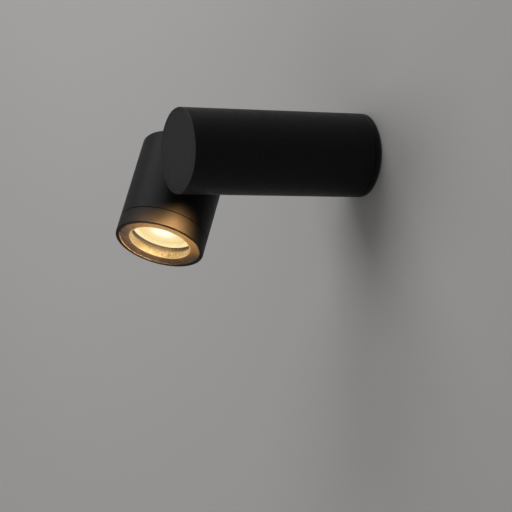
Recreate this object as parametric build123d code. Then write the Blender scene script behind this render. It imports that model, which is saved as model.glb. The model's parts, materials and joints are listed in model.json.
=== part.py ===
from build123d import *
import math
import os

# Outdoor wall lamp: a round arm stands out of the wall, and a round spot head
# tilts on a pivot at the side of the arm. Millimetres and degrees.
# X runs along the pivot, Y into the wall and Z up. The origin is the middle of
# the face that lies on the wall.

# Tubes
PROJECTION = 155.5  # wall to the front face of the arm
ARM_DIAMETER = 65.0
HEAD_DIAMETER = 69.5
HEAD_LENGTH = 82.0  # lit face to the top of the head
TUBE_WALL = 2.5
EDGE = 0.5  # rounding of the visible rims, and small chamfers
BASE_HEIGHT = 5.0  # wall to the back rim of the arm
SEAM = 0.4  # dark line between base and arm, and between ring and head
SEAM_EDGE = 0.25
TUBE_GAP = 4.0  # air between the arm and the head at the pivot
PIVOT_INSET = 28.5  # pivot to the arm's front face, and to the top of the head
HEAD_TILT = 23.7  # head at rest, away from the wall, counted from straight down
TILT_LIMIT = 165.0  # head to either side of straight down
SWIVEL_LIMIT = 170.0  # arm to either side of upright

# Fits
HUB_CLEARANCE = 0.08  # arm tube on its hub
RUN_CLEARANCE = 0.05  # spindle in its bush
SEAT_CLEARANCE = 0.04  # pieces that are pressed or bonded together
SEAL_CLEARANCE = 0.05  # each side of a round seal
DRILL_CLEARANCE = 0.2  # screws and pins in plain holes

# Wall base
GASKET_THICKNESS = 1.5
GASKET_INSET = 0.3  # base's outside to the gasket's outside
FLOOR_THICKNESS = 4.0
HUB_LENGTH = 14.0
HUB_WALL = 4.2
HUB_SEAL_SECTION = 2.0
HUB_SEAL_PLACE = 3.2  # from the arm's back rim
SCREW_SPACING = 36.0
SLOT_LENGTH = 8.0
SLOT_WIDTH = 4.5
SLOT_MARGIN = 0.5  # gasket round each slot
CABLE_HOLE = 13.0
CABLE_BORE = 7.2
GROMMET_LIP = 2.0
GROMMET_BACK = 0.5  # wall to the grommet's back lip
GROMMET_NOSE = 3.5

# Screw that holds the arm on its hub and stops its swivel
SWIVEL_SCREW = 4.0
SWIVEL_SCREW_ANGLE = 90.0  # on top of the arm
SWIVEL_TIP = 2.8
SWIVEL_GROOVE_DEPTH = 2.2
SWIVEL_GROOVE_PLACE = 9.4  # from the arm's back rim
SWIVEL_PLAY = 0.3
SOCKET_FLATS = 2.0
SOCKET_DEPTH = 1.4

# Terminals inside the arm
BRACKET_THICKNESS = 1.2
BRACKET_WIDTH = 16.0
BRACKET_DROP = 9.0  # arm's axis to the top of the bracket
BRACKET_FOOT = 12.0
BLOCK_STANDOFF = 22.0  # wall base's floor to the block
BLOCK_WIDTH = 26.0
BLOCK_HEIGHT = 9.0
BLOCK_DEPTH = 17.0
BLOCK_ROUND = 1.2
POLE_COUNT = 3
POLE_PITCH = 8.5
TOWER_DIAMETER = 6.4
TOWER_HEIGHT = 4.5
TOWER_SPACING = 9.0
CAGE_DIAMETER = 4.4
CAGE_BORE = 3.0
CAGE_LENGTH = 15.0
CLAMP_SCREW = 2.5
CLAMP_RECESS = 0.8
POST_DIAMETER = 6.4
POST_HEIGHT = 13.0
POST_PLACE = 16.5  # earth post above the arm's axis
POST_WIRE = 8.0  # wire above the base's floor

# Conductors
CORE_DIAMETER = 2.4
CORE_SPREAD = 1.12  # spacing of the cores in the cable, in core diameters
CABLE_DIAMETER = 5.8
CABLE_START = 22.0  # block to the cable's sheath
CABLE_BREAK = 0.4  # slack where a cable crosses a joint
WIRE_GRIP = 4.0  # bare end inside a clamp
CORE_BEND = 5.0
FIRST_CORE_ANGLE = 210.0  # first core's place round the cable's middle
BEND_SHARE = 0.45  # of a short run, for the bend at its end

# End caps
CAP_THICKNESS = 5.0
CAP_RECESS = 2.0
CAP_RIM = 6.0
CAP_EDGE = 0.15
CAP_SEAL_SECTION = 1.6

# Pivot
SPINDLE_DIAMETER = 10.0
SPINDLE_BORE = 6.8
SPINDLE_FLATS = 15.0
SPINDLE_HEAD = 3.0
SPINDLE_TAIL = 2.5  # thread past the nut
COLLAR_DIAMETER = 28.0
COLLAR_EDGE = 0.4
BUSH_WALL = 2.2
PAD_DIAMETER = 23.0
PAD_RIM = 1.0  # least thickness of the pads inside the tubes
FRICTION_WASHER_THICKNESS = 0.6
FRICTION_WASHER_DIAMETER = 18.8
FRICTION_PLAY = 0.05
SPINDLE_SEAL_SECTION = 1.3
STOP_PIN_DIAMETER = 2.0
STOP_RADIUS = 11.0
STOP_DEPTH = 0.8
STOP_PLAY = 0.3
PIVOT_WASHER_DIAMETER = 20.0
PIVOT_WASHER_THICKNESS = 1.0
SPRING_DIAMETER = 19.0
SPRING_THICKNESS = 0.7
SPRING_RISE = 0.8
NUT_FLATS = 16.0
NUT_HEIGHT = 4.5

# Front ring and glass, counted from the lit face
RING_LENGTH = 12.8
RIM_WIDTH = 2.9
RIM_EDGE = 0.4
GLASS_THICKNESS = 3.0
GLASS_SUNK = 0.2
GLASS_EDGE = 0.4
GLASS_CLEARANCE = 0.15
GLASS_GASKET = 0.5
GLASS_GASKET_WIDTH = 7.9
GASKET_PLAY = 0.03  # gasket off the seat that turns under it
OPENING_DIAMETER = 47.4
LIP_DEPTH = 4.8
SPIGOT_LENGTH = 8.0
SPIGOT_WALL = 3.2
SPIGOT_CLEARANCE = 0.1
THREAD_START = 3.6  # from the ring's shoulder, past the seal
THREAD_DEPTH = 0.75
RING_SEAL_SECTION = 1.6
RING_SEAL_PLACE = 1.8  # from the ring's shoulder

# Lamp and its holder
BULB_DIAMETER = 50.0
BULB_LENGTH = 47.5  # without its pins
BULB_RIM = 6.0
BULB_NECK_DIAMETER = 26.4
BULB_BASE_LENGTH = 11.5
BULB_BASE_DIAMETER = 25.2
BULB_BASE_FLATS = 19.0
LENS_DIAMETER = 47.6
LENS_THICKNESS = 2.4
LENS_SUNK = 0.2
PIN_SPACING = 10.0
PIN_DIAMETER = 3.0
PIN_HEAD_DIAMETER = 4.9
PIN_LENGTH = 6.6
PIN_HEAD_LENGTH = 2.6
PIN_PLAY = 0.35
BULB_TWIST = 30.0
HOLDER_DIAMETER = 27.0
HOLDER_HEIGHT = 12.5
HOLDER_FACE = 3.6  # wall that the pin heads hook behind
HOLDER_CHAMBER = 3.8
HOLDER_GAP = 0.2
CONTACT_DIAMETER = 4.0
CONTACT_HEIGHT = 2.6
CONTACT_GAP = 0.3
LEAD_POCKET_WIDTH = 6.0
LEAD_POCKET_HEIGHT = 3.2
LEAD_POCKET_DEPTH = 4.2
LEAD_OFFSET = 1.4
LEAD_PLACE = 19.0  # leads from the head's axis
LEAD_BEND = 6.5
STRAP_WIDTH = 14.0
STRAP_THICKNESS = 1.2
STRAP_HOLE_SPACING = 36.0
STRAP_END = 4.0
HOLDER_SCREW_SPACING = 19.2
BOSS_DIAMETER = 7.0
BOSS_HEIGHT = 2.6
SCREW = 3.0
SCREW_HEAD = 5.6
SCREW_HEAD_HEIGHT = 2.0
SCREW_GRIP = 4.5

# Radii and places that follow
ARM_RADIUS = ARM_DIAMETER / 2
ARM_BORE = ARM_RADIUS - TUBE_WALL
HEAD_RADIUS = HEAD_DIAMETER / 2
HEAD_BORE = HEAD_RADIUS - TUBE_WALL
BASE_TOP = BASE_HEIGHT - SEAM
HUB_RADIUS = ARM_BORE - HUB_CLEARANCE
HUB_BORE = HUB_RADIUS - HUB_WALL
HUB_END = BASE_HEIGHT + HUB_LENGTH
FLOOR_TOP = GASKET_THICKNESS + FLOOR_THICKNESS
SWIVEL_GROOVE_HEIGHT = BASE_HEIGHT + SWIVEL_GROOVE_PLACE
SWIVEL_GROOVE_RADIUS = HUB_RADIUS - SWIVEL_GROOVE_DEPTH
BLOCK_BACK = FLOOR_TOP + BLOCK_STANDOFF
BLOCK_FRONT = BLOCK_BACK + BLOCK_DEPTH
WIRE_LEVEL = BLOCK_HEIGHT / 2 - BRACKET_DROP
POLES = [POLE_PITCH * (i - (POLE_COUNT - 1) / 2) for i in range(POLE_COUNT)]
CABLE_LOW = BLOCK_FRONT + CABLE_START
CORE_RADIUS = CORE_DIAMETER / 2
CORE_CIRCLE = CORE_DIAMETER * CORE_SPREAD / math.sqrt(3)

PIVOT_DEPTH = PROJECTION - PIVOT_INSET
PIVOT_IN_HEAD = HEAD_LENGTH - PIVOT_INSET
HEAD_OFFSET = ARM_RADIUS + TUBE_GAP + HEAD_RADIUS
SPINDLE_RADIUS = SPINDLE_DIAMETER / 2
SPINDLE_HOLE = SPINDLE_RADIUS + RUN_CLEARANCE
BUSH_RADIUS = SPINDLE_HOLE + BUSH_WALL
PAD_RADIUS = PAD_DIAMETER / 2
COLLAR_RADIUS = COLLAR_DIAMETER / 2
WASHER_MIDDLE = ARM_RADIUS + TUBE_GAP / 2
ARM_COLLAR_FACE = WASHER_MIDDLE - FRICTION_WASHER_THICKNESS / 2 - FRICTION_PLAY
HEAD_COLLAR_FACE = WASHER_MIDDLE + FRICTION_WASHER_THICKNESS / 2 + FRICTION_PLAY
ARM_PAD_FACE = math.sqrt(ARM_BORE**2 - PAD_RADIUS**2) - PAD_RIM
HEAD_PAD_FACE = HEAD_OFFSET - math.sqrt(HEAD_BORE**2 - PAD_RADIUS**2) + PAD_RIM
WASHER_LOW = ARM_PAD_FACE - FRICTION_PLAY - PIVOT_WASHER_THICKNESS
SPRING_LOW = WASHER_LOW - SPRING_THICKNESS - SPRING_RISE
NUT_LOW = SPRING_LOW - NUT_HEIGHT
SPINDLE_LOW = NUT_LOW - SPINDLE_TAIL
SPINDLE_HIGH = HEAD_PAD_FACE + SPINDLE_HEAD

RECESS_RADIUS = HEAD_RADIUS - RIM_WIDTH
GLASS_RADIUS = RECESS_RADIUS - GLASS_CLEARANCE
GLASS_BACK = GLASS_SUNK + GLASS_THICKNESS
GLASS_SEAT = GLASS_BACK + GLASS_GASKET + GASKET_PLAY
LIP_END = GLASS_SEAT + LIP_DEPTH
SPIGOT_RADIUS = HEAD_BORE - SPIGOT_CLEARANCE
SPIGOT_BORE = SPIGOT_RADIUS - SPIGOT_WALL
SPIGOT_END = RING_LENGTH + SPIGOT_LENGTH
THREAD_ROOT = SPIGOT_RADIUS - THREAD_DEPTH

CAP_IN_HEAD = HEAD_LENGTH - CAP_THICKNESS
STRAP_TOP = CAP_IN_HEAD - BOSS_HEIGHT
STRAP_LOW = STRAP_TOP - STRAP_THICKNESS
HOLDER_LOW = STRAP_LOW - HOLDER_HEIGHT
BULB_TOP = HOLDER_LOW - HOLDER_GAP
BULB_FRONT = BULB_TOP - BULB_LENGTH
BULB_RADIUS = BULB_DIAMETER / 2
NECK_RADIUS = BULB_NECK_DIAMETER / 2
NECK_START = BULB_TOP - BULB_BASE_LENGTH
CHAMBER_END = HOLDER_LOW + HOLDER_FACE + HOLDER_CHAMBER
CONTACT_LOW = BULB_TOP + PIN_LENGTH + CONTACT_GAP

# Frames: the arm's heights count from the wall, the head's from its lit face
# and the pivot's from the arm's axis towards the head
tilt = math.radians(HEAD_TILT)
head_up = Vector(0, math.sin(tilt), math.cos(tilt))
ARM_FRAME = Plane(origin=(0, 0, 0), x_dir=(1, 0, 0), z_dir=(0, -1, 0))
PIVOT_FRAME = Plane(origin=(0, -PIVOT_DEPTH, 0), x_dir=(0, 0, 1), z_dir=(-1, 0, 0))
HEAD_FRAME = Plane(
    origin=Vector(-HEAD_OFFSET, -PIVOT_DEPTH, 0) - head_up * PIVOT_IN_HEAD,
    x_dir=(1, 0, 0),
    z_dir=head_up,
)


def disc(radius, low, high):
    upright = (Align.CENTER, Align.CENTER, Align.MIN)
    return Pos(0, 0, low) * Cylinder(radius, high - low, align=upright)


def ring(outer, inner, low, high):
    return disc(outer, low, high) - disc(inner, low, high)


def turned(*points):
    """A solid turned about the local Z axis from (radius, height) points."""
    return revolve(Plane.XZ * make_face(Polyline(*points, close=True)), Axis.Z)


def soften(shape, radius, height):
    """Rounds the rim of this radius at this height."""
    rims = shape.edges().filter_by(GeomType.CIRCLE)
    rims = rims.filter_by(lambda rim: math.isclose(rim.radius, radius))
    return fillet(rims.filter_by(lambda rim: math.isclose(rim.arc_center.Z, height)), EDGE)


def hexagon(flats, low, high):
    outline = RegularPolygon(flats / 2, 6, major_radius=False)
    return Pos(0, 0, low) * extrude(outline, high - low)


def block(size, centre):
    return Pos(*centre) * Box(*size)


def arc_cut(inner, outer, low, high, start, sweep_angle):
    """A curved slot about the local Z axis, from a start angle."""
    outline = Polyline((inner, low), (outer, low), (outer, high), (inner, high), close=True)
    slot = revolve(Plane.XZ * make_face(outline), Axis.Z, revolution_arc=sweep_angle)
    return Rot(0, 0, start) * slot


def radial(shape, angle, height):
    """Lays a solid built along Z so that it points outwards at this angle and height."""
    return Rot(0, 0, angle) * Pos(0, 0, height) * Rot(0, 90, 0) * shape


def seal_groove(bore, section, height):
    """The groove of a round seal that touches a bore of this radius."""
    bottom = bore - section - 2 * SEAL_CLEARANCE
    half = section / 2 + SEAL_CLEARANCE
    return ring(bore + section, bottom, height - half, height + half)


def seal(bore, section, height):
    return Pos(0, 0, height) * Torus(bore - SEAL_CLEARANCE - section / 2, section / 2)


def conductor(points, diameter, bend):
    """A round conductor along straight runs that are joined by arcs."""
    path = FilletPolyline(*points, radius=bend)
    section = Plane(origin=path @ 0, z_dir=path % 0) * Circle(diameter / 2)
    return sweep(section, path)


def pan_screw(grip):
    """A pan-head screw whose shank runs down from its seat at height 0."""
    shank = disc(SCREW / 2, -grip, 0)
    head = turned(
        (0, 0),
        (SCREW_HEAD / 2, 0),
        (SCREW_HEAD / 2, SCREW_HEAD_HEIGHT / 2),
        (SCREW / 2, SCREW_HEAD_HEIGHT),
        (0, SCREW_HEAD_HEIGHT),
    )
    return shank + head


def arm_solid(radius):
    """A round bar along the arm's axis, to shape what sits on the tube."""
    return ARM_FRAME * disc(radius, 0, PROJECTION)


def head_solid(radius):
    return HEAD_FRAME * disc(radius, 0, HEAD_LENGTH)


# Wall base
def wall_slots(margin):
    length, width = SLOT_LENGTH + 2 * margin, SLOT_WIDTH + 2 * margin
    slot = extrude(SlotOverall(length, width), HUB_END)
    return [Pos(side * SCREW_SPACING / 2, 0, 0) * slot for side in (-1, 1)]


def wall_gasket():
    pad = disc(ARM_RADIUS - GASKET_INSET, 0, GASKET_THICKNESS)
    pad -= disc(CABLE_HOLE / 2 + GROMMET_LIP + SLOT_MARGIN, 0, GASKET_THICKNESS)
    return ARM_FRAME * (pad - wall_slots(SLOT_MARGIN))


def wall_plate():
    plate = turned(
        (0, GASKET_THICKNESS),
        (ARM_RADIUS, GASKET_THICKNESS),
        (ARM_RADIUS, BASE_TOP - SEAM_EDGE),
        (ARM_RADIUS - SEAM_EDGE, BASE_TOP),
        (HUB_RADIUS, BASE_TOP),
        (HUB_RADIUS, HUB_END - EDGE),
        (HUB_RADIUS - EDGE, HUB_END),
        (HUB_BORE, HUB_END),
        (HUB_BORE, FLOOR_TOP),
        (0, FLOOR_TOP),
    )
    plate -= seal_groove(ARM_BORE, HUB_SEAL_SECTION, BASE_HEIGHT + HUB_SEAL_PLACE)
    tip_reach = (SWIVEL_TIP / 2 + SWIVEL_PLAY) / SWIVEL_GROOVE_RADIUS
    stop_angle = SWIVEL_LIMIT + math.degrees(tip_reach)
    half = SWIVEL_TIP / 2 + SWIVEL_PLAY
    plate -= arc_cut(
        SWIVEL_GROOVE_RADIUS,
        ARM_BORE,
        SWIVEL_GROOVE_HEIGHT - half,
        SWIVEL_GROOVE_HEIGHT + half,
        SWIVEL_SCREW_ANGLE - stop_angle,
        2 * stop_angle,
    )
    plate -= wall_slots(0)
    plate -= disc(CABLE_HOLE / 2, 0, FLOOR_TOP)
    foot_screw = Pos(0, -BRACKET_DROP - BRACKET_FOOT / 2, FLOOR_TOP - SCREW_GRIP)
    plate -= foot_screw * disc(SCREW / 2 + SEAT_CLEARANCE, 0, SCREW_GRIP)
    return ARM_FRAME * plate


def hub_seal():
    return ARM_FRAME * seal(ARM_BORE, HUB_SEAL_SECTION, BASE_HEIGHT + HUB_SEAL_PLACE)


def cable_grommet():
    neck = CABLE_HOLE / 2 - SEAT_CLEARANCE
    lip = CABLE_HOLE / 2 + GROMMET_LIP
    bore = CABLE_BORE / 2
    grommet = turned(
        (bore, GROMMET_BACK),
        (lip, GROMMET_BACK),
        (lip, GASKET_THICKNESS),
        (neck, GASKET_THICKNESS),
        (neck, FLOOR_TOP),
        (lip, FLOOR_TOP),
        (lip, FLOOR_TOP + GASKET_THICKNESS),
        (bore + GROMMET_LIP / 2, FLOOR_TOP + GROMMET_NOSE),
        (bore, FLOOR_TOP + GROMMET_NOSE),
    )
    return ARM_FRAME * grommet


# Terminals
def terminal_bracket():
    length = BLOCK_FRONT + BRACKET_THICKNESS - FLOOR_TOP
    middle = -BRACKET_DROP - BRACKET_THICKNESS / 2
    arm = block(
        (BRACKET_WIDTH, BRACKET_THICKNESS, length), (0, middle, FLOOR_TOP + length / 2)
    )
    foot = block(
        (BRACKET_WIDTH, BRACKET_FOOT, BRACKET_THICKNESS),
        (0, -BRACKET_DROP - BRACKET_FOOT / 2, FLOOR_TOP + BRACKET_THICKNESS / 2),
    )
    hole = SCREW / 2 + SEAT_CLEARANCE
    strip = arm + foot
    strip -= Pos(0, -BRACKET_DROP - BRACKET_FOOT / 2, 0) * disc(hole, 0, BLOCK_BACK)
    strip -= Pos(POLE_PITCH / 2, middle, 0) * block_bolt(hole, BRACKET_DROP)
    return ARM_FRAME * strip


def block_bolt(radius, length):
    """A round bar across the terminal block, at the middle of its depth."""
    bar = Rot(90, 0, 0) * disc(radius, -length / 2, length / 2)
    return Pos(0, 0, (BLOCK_BACK + BLOCK_FRONT) / 2) * bar


def tower_places():
    middle = (BLOCK_BACK + BLOCK_FRONT) / 2
    ends = (middle - TOWER_SPACING / 2, middle + TOWER_SPACING / 2)
    return [(x, z) for x in POLES for z in ends]


def upright_bar(radius, x, z, low, high):
    """A round bar along the arm's local Y axis."""
    return Pos(x, 0, z) * Rot(-90, 0, 0) * disc(radius, low, high)


def terminal_block():
    top = BLOCK_HEIGHT - BRACKET_DROP
    body = block(
        (BLOCK_WIDTH, BLOCK_HEIGHT, BLOCK_DEPTH),
        (0, top - BLOCK_HEIGHT / 2, (BLOCK_BACK + BLOCK_FRONT) / 2),
    )
    body = fillet(body.edges().filter_by(Axis.Y), BLOCK_ROUND)
    for x, z in tower_places():
        body += upright_bar(TOWER_DIAMETER / 2, x, z, top, top + TOWER_HEIGHT)
    for x, z in tower_places():
        hole = CLAMP_SCREW / 2 + DRILL_CLEARANCE
        body -= upright_bar(hole, x, z, WIRE_LEVEL, top + TOWER_HEIGHT)
    for x in POLES:
        tunnel = disc(CAGE_DIAMETER / 2 + SEAT_CLEARANCE, BLOCK_BACK, BLOCK_FRONT)
        body -= Pos(x, WIRE_LEVEL, 0) * tunnel
    for side in (-1, 1):
        hole = block_bolt(SCREW / 2 + SEAT_CLEARANCE, 2 * BLOCK_HEIGHT)
        body -= Pos(side * POLE_PITCH / 2, WIRE_LEVEL, 0) * hole
    return ARM_FRAME * body


def terminal_cages():
    middle = (BLOCK_BACK + BLOCK_FRONT) / 2
    low, high = middle - CAGE_LENGTH / 2, middle + CAGE_LENGTH / 2
    cages = []
    for x in POLES:
        cage = Pos(x, WIRE_LEVEL, 0) * ring(CAGE_DIAMETER / 2, CAGE_BORE / 2, low, high)
        for tower_x, z in tower_places():
            hole = CLAMP_SCREW / 2 + SEAT_CLEARANCE
            cage -= upright_bar(hole, tower_x, z, WIRE_LEVEL, CAGE_DIAMETER)
        cages.append(ARM_FRAME * cage)
    return Compound(cages)


def clamp_screws():
    low = WIRE_LEVEL + CORE_RADIUS + SEAL_CLEARANCE
    high = BLOCK_HEIGHT - BRACKET_DROP + TOWER_HEIGHT - CLAMP_RECESS
    screws = [upright_bar(CLAMP_SCREW / 2, x, z, low, high) for x, z in tower_places()]
    wire = FLOOR_TOP + POST_WIRE + CORE_RADIUS + SEAL_CLEARANCE
    top = FLOOR_TOP + POST_HEIGHT + CLAMP_SCREW / 2
    screws.append(Pos(POLES[0], POST_PLACE, 0) * disc(CLAMP_SCREW / 2, wire, top))
    return Compound([ARM_FRAME * screw for screw in screws])


def terminal_screws():
    seat = FLOOR_TOP + BRACKET_THICKNESS
    foot = Pos(0, -BRACKET_DROP - BRACKET_FOOT / 2, seat) * pan_screw(SCREW_GRIP)
    top = BLOCK_HEIGHT - BRACKET_DROP
    through = BLOCK_HEIGHT + BRACKET_THICKNESS
    middle = (BLOCK_BACK + BLOCK_FRONT) / 2
    hold = Pos(POLE_PITCH / 2, top, middle) * Rot(-90, 0, 0) * pan_screw(through)
    return Compound([ARM_FRAME * foot, ARM_FRAME * hold])


def earth_post():
    post = disc(POST_DIAMETER / 2, FLOOR_TOP, FLOOR_TOP + POST_HEIGHT)
    wire = FLOOR_TOP + POST_WIRE
    post -= upright_bar(CAGE_BORE / 2, 0, wire, -POST_DIAMETER, POST_DIAMETER)
    screw = CLAMP_SCREW / 2 + SEAT_CLEARANCE
    post -= disc(screw, wire, FLOOR_TOP + POST_HEIGHT)
    return ARM_FRAME * (Pos(POLES[0], POST_PLACE, 0) * post)


def earth_lead():
    x = POLES[0]
    level = FLOOR_TOP + POST_WIRE
    points = [
        (x, WIRE_LEVEL, BLOCK_BACK + WIRE_GRIP),
        (x, WIRE_LEVEL, BLOCK_BACK - 2 * WIRE_GRIP),
        (x, POST_PLACE - POST_DIAMETER - WIRE_GRIP, level),
        (x, POST_PLACE, level),
    ]
    return ARM_FRAME * conductor(points, CORE_DIAMETER, CORE_BEND)


def base_leads():
    """One core from each pole to its place in the cable, on the arm's axis."""
    leads = []
    for i, x in enumerate(POLES):
        angle = math.radians(FIRST_CORE_ANGLE - i * 360 / POLE_COUNT)
        end_x, end_y = CORE_CIRCLE * math.cos(angle), CORE_CIRCLE * math.sin(angle)
        points = [
            (x, WIRE_LEVEL, BLOCK_FRONT - WIRE_GRIP),
            (x, WIRE_LEVEL, BLOCK_FRONT + WIRE_GRIP),
            (end_x, end_y, CABLE_LOW - WIRE_GRIP),
            (end_x, end_y, CABLE_LOW),
        ]
        leads.append(ARM_FRAME * conductor(points, CORE_DIAMETER, CORE_BEND))
    return Compound(leads)


# Arm
def arm_tube():
    tube = ring(ARM_RADIUS, ARM_BORE, BASE_HEIGHT, PROJECTION)
    for end in (BASE_HEIGHT, PROJECTION):
        tube = soften(tube, ARM_RADIUS, end)
    screw = disc(SWIVEL_SCREW / 2 + SEAT_CLEARANCE, HUB_RADIUS, ARM_DIAMETER)
    tube -= radial(screw, SWIVEL_SCREW_ANGLE, SWIVEL_GROOVE_HEIGHT)
    return ARM_FRAME * tube - PIVOT_FRAME * disc(BUSH_RADIUS + SEAT_CLEARANCE, 0, HEAD_OFFSET)


def end_cap(bore, top):
    """A flush plug for a tube end, with its outer face at this height."""
    low = top - CAP_THICKNESS
    radius = bore - SEAT_CLEARANCE
    cap = turned(
        (0, low + CAP_RECESS),
        (radius - CAP_RIM, low + CAP_RECESS),
        (radius - CAP_RIM, low),
        (radius, low),
        (radius, top - CAP_EDGE),
        (radius - CAP_EDGE, top),
        (0, top),
    )
    return cap - seal_groove(bore, CAP_SEAL_SECTION, top - CAP_THICKNESS / 2)


def arm_end_cap():
    return ARM_FRAME * end_cap(ARM_BORE, PROJECTION)


def arm_cap_seal():
    return ARM_FRAME * seal(ARM_BORE, CAP_SEAL_SECTION, PROJECTION - CAP_THICKNESS / 2)


def swivel_screw():
    """A grub screw whose tip runs in the hub's groove."""
    tip_end = SWIVEL_GROOVE_RADIUS + SWIVEL_PLAY
    top = ARM_RADIUS - EDGE
    screw = disc(SWIVEL_TIP / 2, tip_end, ARM_BORE) + disc(SWIVEL_SCREW / 2, ARM_BORE, top)
    screw -= hexagon(SOCKET_FLATS, top - SOCKET_DEPTH, top)
    return ARM_FRAME * radial(screw, SWIVEL_SCREW_ANGLE, SWIVEL_GROOVE_HEIGHT)


def arm_cable():
    low = Vector(0, -CABLE_LOW - CABLE_BREAK, 0)
    corner = Vector(0, -PIVOT_DEPTH, 0)
    high = Vector(CABLE_BREAK / 2 - WASHER_MIDDLE, -PIVOT_DEPTH, 0)
    bend = SPINDLE_LOW - CORE_RADIUS
    return conductor([low, corner, high], CABLE_DIAMETER, bend)


# Pivot
def collar(face, rim):
    """A round collar from its flat face to well inside a tube at height rim."""
    step = math.copysign(COLLAR_EDGE, rim - face)
    return turned(
        (0, face),
        (COLLAR_RADIUS - COLLAR_EDGE, face),
        (COLLAR_RADIUS, face + step),
        (COLLAR_RADIUS, rim),
        (0, rim),
    )


def arm_collar():
    """A saddle on the arm, with the bush that the spindle turns in."""
    saddle = PIVOT_FRAME * collar(ARM_COLLAR_FACE, 0) - arm_solid(ARM_RADIUS + SEAT_CLEARANCE)
    bush = disc(BUSH_RADIUS, ARM_PAD_FACE + PAD_RIM / 2, ARM_COLLAR_FACE)
    bush -= disc(SPINDLE_HOLE, 0, ARM_COLLAR_FACE)
    groove = SPINDLE_RADIUS + 2 * SEAL_CLEARANCE + SPINDLE_SEAL_SECTION
    half = SPINDLE_SEAL_SECTION / 2 + SEAL_CLEARANCE
    bush -= disc(groove, ARM_BORE - half, ARM_BORE + half)
    saddle -= PIVOT_FRAME * disc(SPINDLE_HOLE, 0, ARM_COLLAR_FACE)
    pin = Pos(STOP_RADIUS, 0, 0) * disc(STOP_PIN_DIAMETER / 2 + SEAT_CLEARANCE, 0, HEAD_OFFSET)
    return saddle + PIVOT_FRAME * bush - PIVOT_FRAME * pin


def stop_pin():
    pin = disc(STOP_PIN_DIAMETER / 2, ARM_RADIUS, HEAD_COLLAR_FACE + STOP_DEPTH)
    pin = PIVOT_FRAME * (Pos(STOP_RADIUS, 0, 0) * pin)
    return pin - arm_solid(ARM_RADIUS + SEAT_CLEARANCE)


def spindle_seal():
    radius = SPINDLE_RADIUS + SEAL_CLEARANCE + SPINDLE_SEAL_SECTION / 2
    return PIVOT_FRAME * (Pos(0, 0, ARM_BORE) * Torus(radius, SPINDLE_SEAL_SECTION / 2))


def arm_pad():
    """A washer inside the arm, round on the tube's side and flat on the nut's."""
    pad = ring(PAD_RADIUS, BUSH_RADIUS + SEAT_CLEARANCE, ARM_PAD_FACE, ARM_RADIUS)
    return PIVOT_FRAME * pad & arm_solid(ARM_BORE - SEAT_CLEARANCE)


def head_collar():
    """A saddle on the head, with the groove that the stop pin runs in."""
    saddle = collar(HEAD_COLLAR_FACE, HEAD_OFFSET) - disc(SPINDLE_HOLE, 0, HEAD_OFFSET)
    half = STOP_PIN_DIAMETER / 2 + STOP_PLAY
    stop = math.degrees(half / STOP_RADIUS)
    saddle -= arc_cut(
        STOP_RADIUS - half,
        STOP_RADIUS + half,
        HEAD_COLLAR_FACE,
        HEAD_COLLAR_FACE + STOP_DEPTH + STOP_PLAY,
        HEAD_TILT - TILT_LIMIT - stop,
        2 * (TILT_LIMIT + stop),
    )
    return PIVOT_FRAME * saddle - head_solid(HEAD_RADIUS + SEAT_CLEARANCE)


def head_pad():
    pad = ring(PAD_RADIUS, SPINDLE_HOLE, HEAD_OFFSET - HEAD_RADIUS, HEAD_PAD_FACE)
    return PIVOT_FRAME * pad & head_solid(HEAD_BORE - SEAT_CLEARANCE)


def friction_washer():
    half = FRICTION_WASHER_THICKNESS / 2
    washer = ring(
        FRICTION_WASHER_DIAMETER / 2, SPINDLE_HOLE, WASHER_MIDDLE - half, WASHER_MIDDLE + half
    )
    return PIVOT_FRAME * washer


def pivot_spindle():
    """A hollow screw from the head into the arm, for the cable to pass."""
    spindle = disc(SPINDLE_RADIUS, SPINDLE_LOW, HEAD_PAD_FACE)
    spindle += hexagon(SPINDLE_FLATS, HEAD_PAD_FACE, SPINDLE_HIGH)
    return PIVOT_FRAME * (spindle - disc(SPINDLE_BORE / 2, SPINDLE_LOW, SPINDLE_HIGH))


def pivot_washer():
    high = WASHER_LOW + PIVOT_WASHER_THICKNESS
    return PIVOT_FRAME * ring(PIVOT_WASHER_DIAMETER / 2, SPINDLE_HOLE, WASHER_LOW, high)


def disc_spring():
    """A coned spring washer between the nut and the flat washer."""
    inner, outer = SPINDLE_HOLE, SPRING_DIAMETER / 2
    spring = turned(
        (inner, SPRING_LOW),
        (outer, SPRING_LOW + SPRING_RISE),
        (outer, SPRING_LOW + SPRING_RISE + SPRING_THICKNESS),
        (inner, SPRING_LOW + SPRING_THICKNESS),
    )
    return PIVOT_FRAME * spring


def pivot_nut():
    nut = hexagon(NUT_FLATS, NUT_LOW, SPRING_LOW)
    return PIVOT_FRAME * (nut - disc(SPINDLE_HOLE, NUT_LOW, SPRING_LOW))


# Head
def head_shell():
    low = RING_LENGTH + SEAM
    shell = turned(
        (HEAD_BORE, low),
        (HEAD_RADIUS - SEAM_EDGE, low),
        (HEAD_RADIUS, low + SEAM_EDGE),
        (HEAD_RADIUS, HEAD_LENGTH),
        (HEAD_BORE, HEAD_LENGTH),
    )
    shell = soften(shell, HEAD_RADIUS, HEAD_LENGTH)
    return HEAD_FRAME * shell - PIVOT_FRAME * disc(SPINDLE_HOLE, 0, HEAD_OFFSET)


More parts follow.
